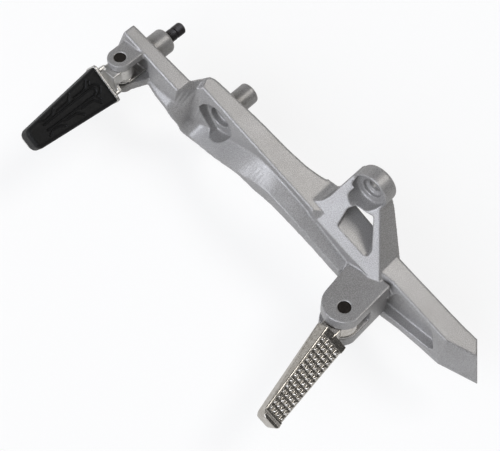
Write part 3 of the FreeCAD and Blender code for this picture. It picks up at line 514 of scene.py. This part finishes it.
def cast_silver(settings):
    """Sparkling silver paint on a casting, a little grubby in broad patches, with a painted highlight along its
    edges.
    """
    material, tree, shader = new_material("cast_silver")
    flake_stops = [(0.34, 0.78), (0.5, 0.97), (0.62, 1.32)]
    flakes = ramp(tree, noise(tree, settings.flake_size, 2.0), flake_stops)
    cloud_stops = [(0.3, (0.94, 0.935, 0.93)), (0.7, (1.05, 1.05, 1.06))]
    cloud = ramp(tree, noise(tree, 0.03, 4.0), cloud_stops)
    rounded = soft_edges(tree, settings.edge_round)
    colour = multiply(tree, multiply(tree, settings.silver, flakes), cloud)
    # Painted highlight: the paint colour is lightened along the rounded edges, where the light catches them.
    colour = multiply(tree, colour, painted_edge_highlight(tree, rounded, settings.edge_highlight_gain))
    tree.links.new(colour, shader.inputs["Base Color"])
    shader.inputs["Metallic"].default_value = 0.38
    grit = noise(tree, settings.flake_size * 1.7, 2.0)
    tree.links.new(ramp(tree, grit, [(0.3, 0.36), (0.7, 0.48)]), shader.inputs["Roughness"])
    shader.inputs["Specular IOR Level"].default_value = 0.25
    normal = bumped(tree, noise(tree, 0.0007, 2.0), 0.12, 0.0003, rounded)
    tree.links.new(normal, shader.inputs["Normal"])
    return material


def black_steel(settings):
    """Black oxide steel with a slightly worn sheen."""
    return finish(
        "black_steel",
        settings.black,
        blotch=(0.002, 4.0, [(0.35, 0.75), (0.7, 1.6)]),
        rough=(0.0012, 3.0, [(0.3, 0.34), (0.7, 0.5)]),
        bump=(0.0006, 3.0, 0.15, 0.0002),
        edge=0.0004,
        metallic=0.6,
    )


def zinc_steel(settings):
    """Plated steel wire and sheet."""
    return finish(
        "zinc_steel",
        settings.zinc,
        blotch=(0.0016, 4.0, [(0.3, 0.7), (0.7, 1.15)]),
        rough=(0.0009, 3.0, [(0.3, 0.28), (0.7, 0.45)]),
        bump=(0.0005, 2.0, 0.12, 0.0002),
        edge=0.0003,
        metallic=0.9,
    )


def peg_metal(settings):
    """Satin metal of the front peg's core."""
    return finish(
        "peg_metal",
        settings.core,
        blotch=(0.004, 5.0, [(0.3, (0.86, 0.85, 0.83)), (0.7, (1.08, 1.08, 1.08))]),
        rough=(0.0015, 3.0, [(0.3, 0.26), (0.7, 0.42)]),
        bump=(0.0008, 3.0, 0.2, 0.0003),
        edge=0.0008,
        metallic=0.75,
    )


def polished_metal(settings):
    """Bright, slightly uneven metal of the bare peg."""
    return finish(
        "polished_metal",
        settings.polish,
        blotch=(0.003, 5.0, [(0.3, (0.84, 0.82, 0.79)), (0.7, (1.1, 1.1, 1.1))]),
        rough=(0.0013, 3.0, [(0.3, 0.14), (0.7, 0.30)]),
        bump=(0.0018, 3.0, 0.25, 0.0004),
        edge=0.0006,
        metallic=0.95,
    )


def moulded_rubber(settings):
    """Matt black rubber with a fine moulded grain."""
    return finish(
        "moulded_rubber",
        settings.rubber,
        blotch=(0.006, 5.0, [(0.3, 0.75), (0.7, 1.5)]),
        rough=(0.0009, 3.0, [(0.3, 0.48), (0.7, 0.66)]),
        bump=(0.0004, 2.0, 0.3, 0.0002),
        edge=0.0007,
        specular=0.22,
    )


def mesh_from(shape, name):
    """Mesh of a bmesh, which is freed."""
    mesh = bpy.data.meshes.new(name)
    shape.to_mesh(mesh)
    shape.free()
    return mesh


def hull_of(places, name):
    """Closed outside of a cloud of places.

    The hull is made at a thousand times its size, because at its own size its small faces merge.
    """
    shape = bmesh.new()
    for place in np.unique(np.array(places).round(6), axis=0):
        shape.verts.new(place)
    bmesh.ops.scale(shape, vec=(1000.0, 1000.0, 1000.0), verts=shape.verts)
    bmesh.ops.convex_hull(shape, input=shape.verts)
    loose = [vertex for vertex in shape.verts if not vertex.link_faces]
    bmesh.ops.delete(shape, geom=loose, context="VERTS")
    bmesh.ops.scale(shape, vec=(0.001, 0.001, 0.001), verts=shape.verts)
    return mesh_from(shape, name)


def joined(meshes, name):
    """One mesh with the faces of several."""
    shape = bmesh.new()
    for mesh in meshes:
        shape.from_mesh(mesh)
    return mesh_from(shape, name)


def sweep_outline():
    """Side outline of the lug's front wall in millimetres, as (x, z) points."""
    front = SWEEP_START + SWEEP_RADIUS
    back = front + WALL_THICKNESS
    foot = STRIP_TOP - WALL_SUNK
    lead = SWEEP_START - SWEEP_LEAD
    outline = [(lead, foot), (lead, STRIP_TOP - SWEEP_SINK)]
    for angle in range(0, 91, SWEEP_STEP_DEGREES):
        turn = math.radians(angle)
        x = SWEEP_START + SWEEP_RADIUS * math.sin(turn)
        outline.append((x, STRIP_TOP + SWEEP_RADIUS - SWEEP_RADIUS * math.cos(turn)))
    return outline + [(front, WALL_TOP), (back, WALL_TOP), (back, foot)]


def lug_front():
    """Front wall of the lug, drawn up from the strip in one hollow sweep."""
    shape = bmesh.new()
    outer = WALL_OUTER_Y / MM_PER_M
    ring = [shape.verts.new((x / MM_PER_M, outer, z / MM_PER_M)) for x, z in sweep_outline()]
    face = shape.faces.new(ring)
    out = bmesh.ops.extrude_face_region(shape, geom=[face])
    moved = [item for item in out["geom"] if isinstance(item, bmesh.types.BMVert)]
    bmesh.ops.translate(shape, vec=(0, WALL_WIDTH / MM_PER_M, 0), verts=moved)
    cut = bmesh.ops.bisect_plane(
        shape,
        geom=shape.verts[:] + shape.edges[:] + shape.faces[:],
        plane_co=Vector(LUG_FACE_POINT) / MM_PER_M,
        plane_no=LUG_FACE_NORMAL,
        clear_outer=True,
    )
    edges = [item for item in cut["geom_cut"] if isinstance(item, bmesh.types.BMEdge)]
    bmesh.ops.holes_fill(shape, edges=edges)
    bmesh.ops.triangulate(shape, faces=shape.faces)
    bmesh.ops.recalc_face_normals(shape, faces=shape.faces)
    return mesh_from(shape, "lug_front")


def lug_nose():
    """Outer end of the strip, run out on to the lug's slanted face."""
    foot = [(x, y, NOSE_FOOT) for x, y, z in NOSE_TOP]
    return hull_of(np.array(NOSE_TOP + foot) / MM_PER_M, "lug_nose")


def eye_web():
    """Web that carries the gusset's rear face up to the full width of the eye."""
    inner = [(x - WEB_DEPTH[0], y, z - WEB_DEPTH[1]) for x, y, z in WEB_FACE]
    return hull_of(np.array(WEB_FACE + inner) / MM_PER_M, "eye_web")


def softened(node, name, body, grain, passes, material, kept=1.0, start=None):
    """Stands in for a CAD node with its edges eased as casting or moulding leaves them."""
    piece = bpy.data.objects.new(name, start or frame["nodes"][node].data.copy())
    bpy.context.collection.objects.link(piece)
    remesh = piece.modifiers.new("remesh", "REMESH")
    remesh.mode = "VOXEL"
    remesh.voxel_size = grain
    ease = piece.modifiers.new("ease", "SMOOTH")
    ease.factor = 0.5
    ease.iterations = passes
    if kept < 1.0:
        thin = piece.modifiers.new("thin", "DECIMATE")
        thin.ratio = kept
    shapes = bpy.context.evaluated_depsgraph_get()
    mesh = bpy.data.meshes.new_from_object(piece.evaluated_get(shapes))
    piece.modifiers.clear()
    piece.data = mesh
    mesh.name = name
    mesh.materials.clear()
    mesh.materials.append(material)
    mesh.polygons.foreach_set("material_index", np.zeros(len(mesh.polygons), np.int32))
    mesh.polygons.foreach_set("use_smooth", np.ones(len(mesh.polygons), bool))
    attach(piece, body)
    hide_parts(node)
    return piece


def corners(mesh):
    """Places of a mesh's vertices as an array."""
    places = np.zeros(len(mesh.vertices) * 3, np.float32)
    mesh.vertices.foreach_get("co", places)
    return places.reshape(-1, 3).astype(float)


def place_corners(mesh, places):
    """Moves a mesh's vertices to the places of an array."""
    mesh.vertices.foreach_set("co", places.astype(np.float32).ravel())
    mesh.update()


def true_bore(mesh, centre, axis, radius, half, reach=0.0006):
    """Moves a softened bore's wall back to its exact radius along its length."""
    places = corners(mesh)
    line = np.array(Vector(axis).normalized())
    offset = places - np.array(centre)
    depth = offset @ line
    across = offset - depth[:, None] * line
    length = np.linalg.norm(across, axis=1)
    near = (abs(length - radius) < reach) & (abs(depth) < half)
    places[near] += across[near] * (radius / length[near] - 1.0)[:, None]
    place_corners(mesh, places)


def carve(mesh, origin, normal, across, lines, top, width, depth):
    """Sinks grooves along lines of (across, along) points into a flat top.

    A groove's side slopes over half its width, and a groove fades out where the top rounds off.
    """
    rim_low, rim_span = 0.0012, 0.0009
    places = corners(mesh)
    up = np.array(normal)
    side = np.array(across)
    offset = places - np.array(origin)
    height = offset @ up
    spot = np.stack([offset @ side, offset @ np.cross(side, up)], axis=1)
    nearest = np.full(len(places), np.inf)
    for line in lines:
        for a, b in zip(np.array(line), np.array(line)[1:]):
            run = b - a
            share = np.clip(((spot - a) @ run) / (run @ run), 0.0, 1.0)
            distance = np.linalg.norm(spot - a - share[:, None] * run, axis=1)
            nearest = np.minimum(nearest, distance)
    fall = np.clip(1.5 - nearest / (width / 2), 0.0, 1.0)
    flat = np.clip((height - top + rim_low) / rim_span, 0.0, 1.0)
    places -= (depth * fall * flat)[:, None] * up
    place_corners(mesh, places)


def mirrored(line):
    """A line of the tread on the other side of its centre."""
    return [(-u, v) for u, v in line]


def tread_lines():
    """Lines of the rubber's tread in metres: a bar with a round head, and stepped side grooves."""
    head = []
    for angle in range(15, 180, 15):
        turn = math.radians(angle)
        head.append((-BAR_HALF * math.cos(turn), BAR_HEAD_AT - BAR_HEAD_RISE * math.sin(turn)))
    bar = mirrored(BAR_SIDE)[::-1] + head + BAR_SIDE
    hood = mirrored(HOOD_SIDE)[::-1] + [HOOD_TOP] + HOOD_SIDE
    lines = [bar, hood] + TREAD_STEPS + [mirrored(step) for step in TREAD_STEPS]
    centre = TREAD_CENTRE / MM_PER_M
    return [[(centre + u / MM_PER_M, v / MM_PER_M) for u, v in line] for line in lines]


def dress(material, *names):
    """Gives CAD nodes a finish."""
    for name in names:
        mesh = frame["nodes"][name].data
        mesh.materials.clear()
        mesh.materials.append(material)


class FOOTPEG_OT_casting(bpy.types.Operator):
    """Paint the cast arm"""

    bl_idname = "footpeg.casting"
    bl_label = "Casting"

    def execute(self, context):
        settings = context.scene.footpeg_casting
        silver = cast_silver(settings)
        dress(silver, "bracket_casting")
        cast = frame["nodes"]["bracket_casting"].data
        whole = joined([cast, lug_front(), lug_nose(), eye_web()], "cast_arm_start")
        piece = softened("bracket_casting", "cast_arm", "bracket", settings.grain,
                         settings.passes, silver, settings.kept, whole)
        for mount in frame["record"]["mounts"]:
            if mount["kind"] == "bore":
                radius = mount["dims"]["r_mm"] / MM_PER_M
                half = mount["dims"]["length_mm"] / 2 / MM_PER_M
                true_bore(piece.data, mount["pos_m"], mount["axis"], radius, half)
        return {"FINISHED"}


class FOOTPEG_OT_steel(bpy.types.Operator):
    """Finish the pins, washers, clips and springs"""

    bl_idname = "footpeg.steel"
    bl_label = "Pins and springs"

    def execute(self, context):
        settings = context.scene.footpeg_steel
        dress(black_steel(settings), "mounting_stud", "front_clevis_pin", "rear_clevis_pin")
        zinc = zinc_steel(settings)
        dress(zinc, "front_pin_washer", "front_pin_clip", "rear_pin_washer", "rear_pin_clip")
        dress(zinc, "front_return_spring", "front_peg_screws", "rear_detent_spring")
        dress(zinc, "rear_detent_plunger", "rear_detent_plate")
        return {"FINISHED"}


class FOOTPEG_OT_stud(bpy.types.Operator):
    """Cut the thread of the mounting stud"""

    bl_idname = "footpeg.stud"
    bl_label = "Mounting stud"

    def execute(self, context):
        settings = context.scene.footpeg_steel
        low, high = STUD_BOX
        radius = (high[0] - low[0]) / 2
        slack = 0.00002
        plain_depth = 0.0002
        chamfer = 0.001
        waist = (0.0078, 0.0090)
        waist_depth = 0.0009
        rows = 220
        count = settings.steps
        points = []
        for i in range(rows + 1):
            y = low[1] + (high[1] - low[1]) * i / rows
            for k in range(count):
                turn = 2 * math.pi * k / count
                phase = (y / settings.pitch - k / count) % 1.0
                cut = settings.depth * (1.0 - abs(2.0 * phase - 1.0)) if y > 0 else plain_depth
                r = radius - slack - cut
                if waist[0] < y < waist[1]:
                    r = min(r, radius - waist_depth)
                r = min(r, radius - chamfer + (high[1] - y))
                points.append((r * math.cos(turn), y, r * math.sin(turn)))
        faces = []
        for i in range(rows):
            for k in range(count):
                a, b = i * count + k, i * count + (k + 1) % count
                faces.append((a, a + count, b + count, b))
        last = rows * count
        faces.append(list(range(count)))
        faces.append(list(range(last + count - 1, last - 1, -1)))
        mesh = bpy.data.meshes.new("threaded_stud")
        mesh.from_pydata(points, [], faces)
        mesh.materials.append(bpy.data.materials["black_steel"])
        stud = bpy.data.objects.new("threaded_stud", mesh)
        bpy.context.collection.objects.link(stud)
        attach(stud, "bracket")
        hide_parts("mounting_stud")
        return {"FINISHED"}


class FOOTPEG_OT_front_peg(bpy.types.Operator):
    """Finish the rubber-covered peg"""

    bl_idname = "footpeg.front_peg"
    bl_label = "Front peg"

    def execute(self, context):
        settings = context.scene.footpeg_pegs
        rubber = moulded_rubber(settings)
        metal = peg_metal(settings)
        dress(rubber, "front_peg_rubber")
        dress(metal, "front_peg_core")
        blank = hull_of(corners(frame["nodes"]["front_peg_rubber"].data), "rubber_blank")
        cover = softened("front_peg_rubber", "rubber_cover", "front_peg", settings.rubber_grain,
                         settings.rubber_passes, rubber, start=blank)
        lean = math.radians(settings.tread_lean)
        up = (math.sin(lean), 0.0, math.cos(lean))
        across = (math.cos(lean), 0.0, -math.sin(lean))
        folds = {joint["name"]: joint for joint in frame["joints"]}
        pivot = folds["front_peg_fold"]["pos_m"]
        carve(cover.data, pivot, up, across, tread_lines(), settings.rubber_top,
              settings.groove_width, settings.groove_depth)
        softened("front_peg_core", "peg_core", "front_peg", settings.core_grain,
                 settings.core_passes, metal)
        return {"FINISHED"}


class FOOTPEG_OT_rear_peg(bpy.types.Operator):
    """Polish the bare peg"""

    bl_idname = "footpeg.rear_peg"
    bl_label = "Rear peg"

    def execute(self, context):
        settings = context.scene.footpeg_pegs
        polish = polished_metal(settings)
        dress(polish, "rear_peg")
        softened("rear_peg", "polished_peg", "rear_peg", settings.polish_grain,
                 settings.polish_passes, polish)
        return {"FINISHED"}


class FOOTPEG_OT_stage(bpy.types.Operator):
    """Lay the floor and set the lamp and the camera"""

    bl_idname = "footpeg.stage"
    bl_label = "Stage"

    def execute(self, context):
        settings = context.scene.footpeg_stage
        self.floor(settings)
        self.world()
        self.lamp(settings)
        self.camera(settings)
        return {"FINISHED"}

    def floor(self, settings):
        """Floor that looks white and throws back little light, and keeps the shadow."""
        half = settings.floor_half
        z = CAD_BOX[0][2] - settings.floor_gap
        sheet = [(-half, -half, z), (half, -half, z), (half, half, z), (-half, half, z)]
        mesh = bpy.data.meshes.new("floor")
        mesh.from_pydata(sheet, [], [(0, 1, 2, 3)])
        material, tree, shader = new_material("floor_white")
        shader.inputs["Roughness"].default_value = 0.9
        glow = add_node(tree, "ShaderNodeEmission")
        seen = seen_directly(tree)
        tone = add_node(tree, "ShaderNodeMix", data_type="RGBA")
        tone.inputs["A"].default_value = (*settings.floor_colour, 1.0)
        tone.inputs["B"].default_value = (*settings.floor_white, 1.0)
        tree.links.new(seen, tone.inputs["Factor"])
        tree.links.new(tone.outputs["Result"], shader.inputs["Base Color"])
        share = add_node(tree, "ShaderNodeMath", operation="MULTIPLY")
        share.inputs[1].default_value = settings.floor_plain
        tree.links.new(seen, share.inputs[0])
        mix = add_node(tree, "ShaderNodeMixShader")
        tree.links.new(share.outputs[0], mix.inputs["Fac"])
        tree.links.new(shader.outputs["BSDF"], mix.inputs[1])
        tree.links.new(glow.outputs["Emission"], mix.inputs[2])
        output = [node for node in tree.nodes if node.type == "OUTPUT_MATERIAL"][0]
        tree.links.new(mix.outputs["Shader"], output.inputs["Surface"])
        mesh.materials.append(material)
        floor = bpy.data.objects.new("floor", mesh)
        bpy.context.collection.objects.link(floor)

    def world(self):
        """Dim surround with one soft panel, above a backdrop that looks white."""
        world = bpy.data.worlds.new("studio")
        bpy.context.scene.world = world
        world.use_nodes = True
        tree = world.node_tree
        tree.nodes.clear()
        place = add_node(tree, "ShaderNodeTexCoord")
        towards = add_node(tree, "ShaderNodeVectorMath", operation="DOT_PRODUCT")
        towards.inputs[1].default_value = Vector(PANEL_TOWARDS).normalized()
        tree.links.new(place.outputs["Generated"], towards.inputs[0])
        shade = ramp(tree, towards.outputs["Value"], PANEL_STOPS)
        split = add_node(tree, "ShaderNodeSeparateXYZ")
        tree.links.new(place.outputs["Generated"], split.inputs[0])
        share = add_node(tree, "ShaderNodeMath", operation="MULTIPLY")
        tree.links.new(seen_directly(tree), share.inputs[0])
        tree.links.new(ramp(tree, split.outputs["Z"], BACKDROP_STOPS), share.inputs[1])
        backdrop = add_node(tree, "ShaderNodeMix", data_type="RGBA")
        tree.links.new(share.outputs[0], backdrop.inputs["Factor"])
        tree.links.new(shade, backdrop.inputs["A"])
        backdrop.inputs["B"].default_value = (1.0, 1.0, 1.0, 1.0)
        back = add_node(tree, "ShaderNodeBackground")
        tree.links.new(backdrop.outputs["Result"], back.inputs["Color"])
        back.inputs["Strength"].default_value = 1.0
        output = add_node(tree, "ShaderNodeOutputWorld")
        tree.links.new(back.outputs["Background"], output.inputs["Surface"])

    def lamp(self, settings):
        """Broad soft lamp from above and behind."""
        data = bpy.data.lights.new("key_lamp", "SUN")
        data.energy = settings.key_strength
        data.angle = math.radians(settings.key_spread)
        data.color = settings.key_colour
        lamp = bpy.data.objects.new("key_lamp", data)
        towards = Vector(settings.key_towards)
        lamp.rotation_euler = towards.to_track_quat("-Z", "Y").to_euler()
        bpy.context.collection.objects.link(lamp)

    def camera(self, settings):
        """Camera at the photo's viewing angle."""
        data = bpy.data.cameras.new("camera")
        data.lens = settings.lens
        data.sensor_width = 36.0
        data.dof.use_dof = False
        camera = bpy.data.objects.new("camera", data)
        right = Vector(CAMERA_RIGHT).normalized()
        back = Vector(CAMERA_BACK).normalized()
        turn = Matrix((right, back.cross(right), back)).transposed().to_4x4()
        camera.matrix_world = Matrix.Translation(CAMERA_PLACE) @ turn
        bpy.context.collection.objects.link(camera)
        bpy.context.scene.camera = camera
        bpy.context.scene.view_settings.view_transform = "Standard"


class FOOTPEG_PT_panel(bpy.types.Panel):
    """Finishes of the footpeg bracket"""

    bl_label = "Footpeg bracket"
    bl_idname = "FOOTPEG_PT_panel"
    bl_space_type = "VIEW_3D"
    bl_region_type = "UI"
    bl_category = "Footpeg"

    def draw(self, context):
        layout = self.layout
        for group in GROUPS:
            settings = getattr(context.scene, group)
            for name in settings.bl_rna.properties.keys():
                if name not in ("rna_type", "name"):
                    layout.prop(settings, name)
        for operator in OPERATORS:
            layout.operator(operator.bl_idname)


OPERATORS = [
    FOOTPEG_OT_casting,
    FOOTPEG_OT_steel,
    FOOTPEG_OT_stud,
    FOOTPEG_OT_front_peg,
    FOOTPEG_OT_rear_peg,
    FOOTPEG_OT_stage,
]
GROUPS = {
    "footpeg_casting": CastingSettings,
    "footpeg_steel": SteelSettings,
    "footpeg_pegs": PegSettings,
    "footpeg_stage": StageSettings,
}


def register():
    """Registers the settings, the operators and the panel."""
    for name, group in GROUPS.items():
        bpy.utils.register_class(group)
        setattr(bpy.types.Scene, name, PointerProperty(type=group))
    for operator in OPERATORS:
        bpy.utils.register_class(operator)
    bpy.utils.register_class(FOOTPEG_PT_panel)


def unregister():
    """Takes away what register added."""
    bpy.utils.unregister_class(FOOTPEG_PT_panel)
    for operator in reversed(OPERATORS):
        bpy.utils.unregister_class(operator)
    for name, group in GROUPS.items():
        delattr(bpy.types.Scene, name)
        bpy.utils.unregister_class(group)


def main():
    """Dresses the bracket."""
    register()
    bpy.ops.footpeg.casting()
    bpy.ops.footpeg.steel()
    bpy.ops.footpeg.stud()
    bpy.ops.footpeg.front_peg()
    bpy.ops.footpeg.rear_peg()
    bpy.ops.footpeg.stage()


if __name__ == "__main__":
    main()
